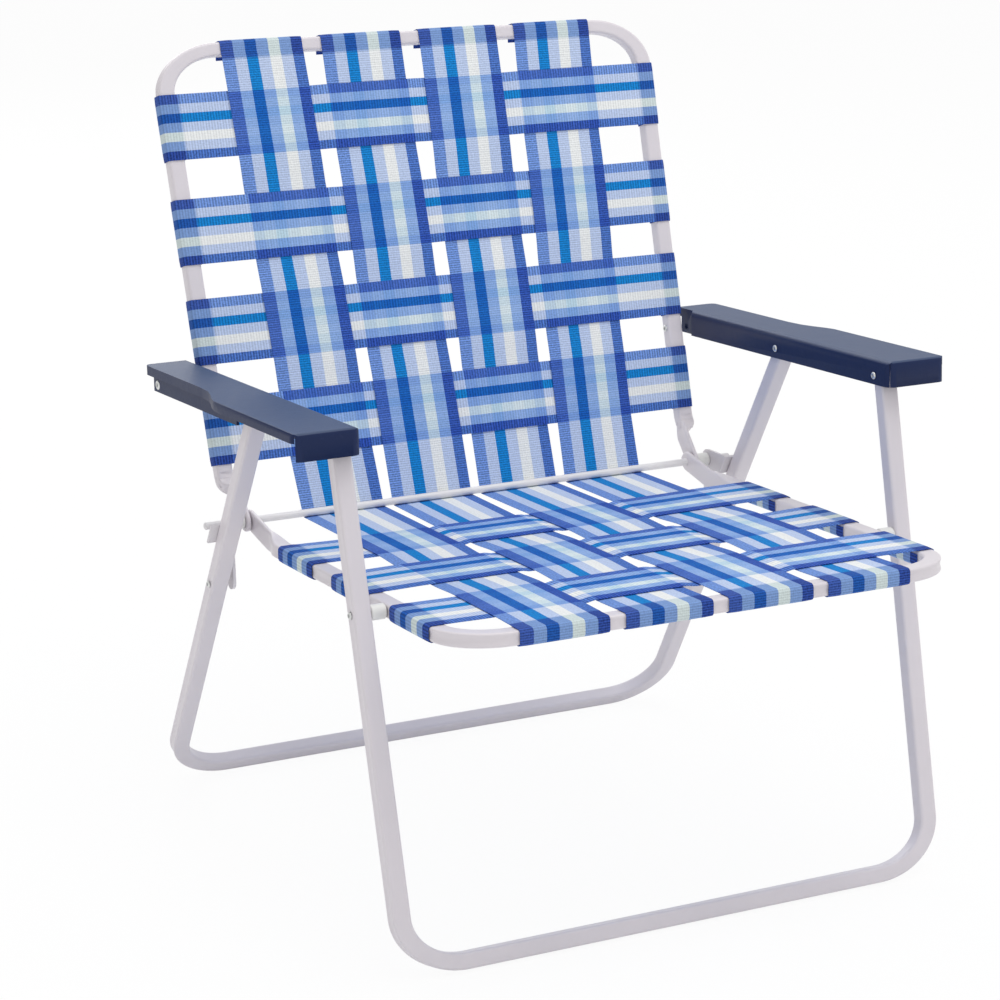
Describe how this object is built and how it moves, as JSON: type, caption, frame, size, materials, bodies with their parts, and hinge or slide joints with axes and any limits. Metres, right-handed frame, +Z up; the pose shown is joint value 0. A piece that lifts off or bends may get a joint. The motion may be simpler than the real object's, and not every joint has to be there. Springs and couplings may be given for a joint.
{
  "type": "folding lawn chair",
  "caption": "Folding garden armchair: bent square-tube leg, seat and back frames, moulded armrests and a woven striped webbing seat and back.",
  "frame": {"origin": "on the floor under the middle of the open chair's bounding box", "axes": "+Z up, the chair faces -Y, +X towards the sitter's left hand"},
  "size_m": [0.5888, 0.5663, 0.6511],
  "materials": {
    "frame_paint": "gloss",
    "rod_paint": "gloss",
    "link_paint": "gloss",
    "armrest_plastic": "satin, slightly weathered",
    "spacer_plastic": "satin",
    "rivet_metal": "bright",
    "webbing": "matt ribbed webbing, blue, pale blue and cream stripes"
  },
  "bodies": {
    "seat": {"seat_frame": "frame_paint", "cross_rod": "rod_paint", "axle_spacer_left": "spacer_plastic", "axle_spacer_right": "spacer_plastic", "leg_spacer_left": "spacer_plastic", "leg_spacer_right": "spacer_plastic", "leg_seat_rivet_left": "rivet_metal", "leg_seat_rivet_right": "rivet_metal", "seat_cross_strap_1": "webbing", "seat_cross_strap_2": "webbing", "seat_cross_strap_3": "webbing", "seat_long_strap_1": "webbing", "seat_long_strap_2": "webbing", "seat_long_strap_3": "webbing", "seat_long_strap_4": "webbing"},
    "back": {"back_frame": "frame_paint", "back_rivet_left": "rivet_metal", "back_rivet_right": "rivet_metal", "back_cross_strap_1": "webbing", "back_cross_strap_2": "webbing", "back_cross_strap_3": "webbing", "back_cross_strap_4": "webbing", "back_long_strap_1": "webbing", "back_long_strap_2": "webbing", "back_long_strap_3": "webbing", "back_long_strap_4": "webbing"},
    "front_legs": {"front_leg": "frame_paint"},
    "armrest_left_body": {"armrest_left": "armrest_plastic", "arm_front_rivet_left": "rivet_metal", "arm_rear_rivet_left": "rivet_metal", "back_pin_left": "rivet_metal"},
    "armrest_right_body": {"armrest_right": "armrest_plastic", "arm_front_rivet_right": "rivet_metal", "arm_rear_rivet_right": "rivet_metal", "back_pin_right": "rivet_metal"},
    "rear_legs": {"rear_leg": "frame_paint", "leg_link_rivet_left": "rivet_metal", "leg_link_rivet_right": "rivet_metal"},
    "link_left_body": {"hinge_link_left": "link_paint", "link_stud_left": "rivet_metal"},
    "link_right_body": {"hinge_link_right": "link_paint", "link_stud_right": "rivet_metal"}
  },
  "joints": [
    {"name": "front_leg_fold", "type": "hinge", "parent": "seat", "child": "front_legs", "pos_m": [0, -0.1599, 0.275], "axis": [1, 0, 0], "range_deg": [0, 97]},
    {"name": "back_fold", "type": "hinge", "parent": "seat", "child": "back", "pos_m": [0, 0.1296, 0.2663], "axis": [1, 0, 0], "range_deg": [0, 88.48]},
    {"name": "armrest_left_swing", "type": "hinge", "parent": "front_legs", "child": "armrest_left_body", "pos_m": [0.249, -0.1249, 0.4026], "axis": [1, 0, 0], "range_deg": [-86.49, 0]},
    {"name": "armrest_right_swing", "type": "hinge", "parent": "front_legs", "child": "armrest_right_body", "pos_m": [-0.249, -0.1249, 0.4026], "axis": [1, 0, 0], "range_deg": [-86.49, 0]},
    {"name": "rear_leg_swing", "type": "hinge", "parent": "armrest_left_body", "child": "rear_legs", "pos_m": [0.249, 0.0273, 0.3921], "axis": [1, 0, 0], "range_deg": [0, 38.28]},
    {"name": "link_left_swing", "type": "hinge", "parent": "seat", "child": "link_left_body", "pos_m": [0.2356, 0.1296, 0.2663], "axis": [1, 0, 0], "range_deg": [-83.91, 0]},
    {"name": "link_right_swing", "type": "hinge", "parent": "seat", "child": "link_right_body", "pos_m": [-0.2356, 0.1296, 0.2663], "axis": [1, 0, 0], "range_deg": [-83.91, 0]}
  ],
  "couplings": [
    {"joint": "back_fold", "follows": "front_leg_fold", "ratio": 0.9121},
    {"joint": "armrest_left_swing", "follows": "front_leg_fold", "ratio": -0.8916},
    {"joint": "armrest_right_swing", "follows": "front_leg_fold", "ratio": -0.8916},
    {"joint": "rear_leg_swing", "follows": "front_leg_fold", "ratio": 0.3946},
    {"joint": "link_left_swing", "follows": "front_leg_fold", "ratio": -0.865},
    {"joint": "link_right_swing", "follows": "front_leg_fold", "ratio": -0.865}
  ]
}
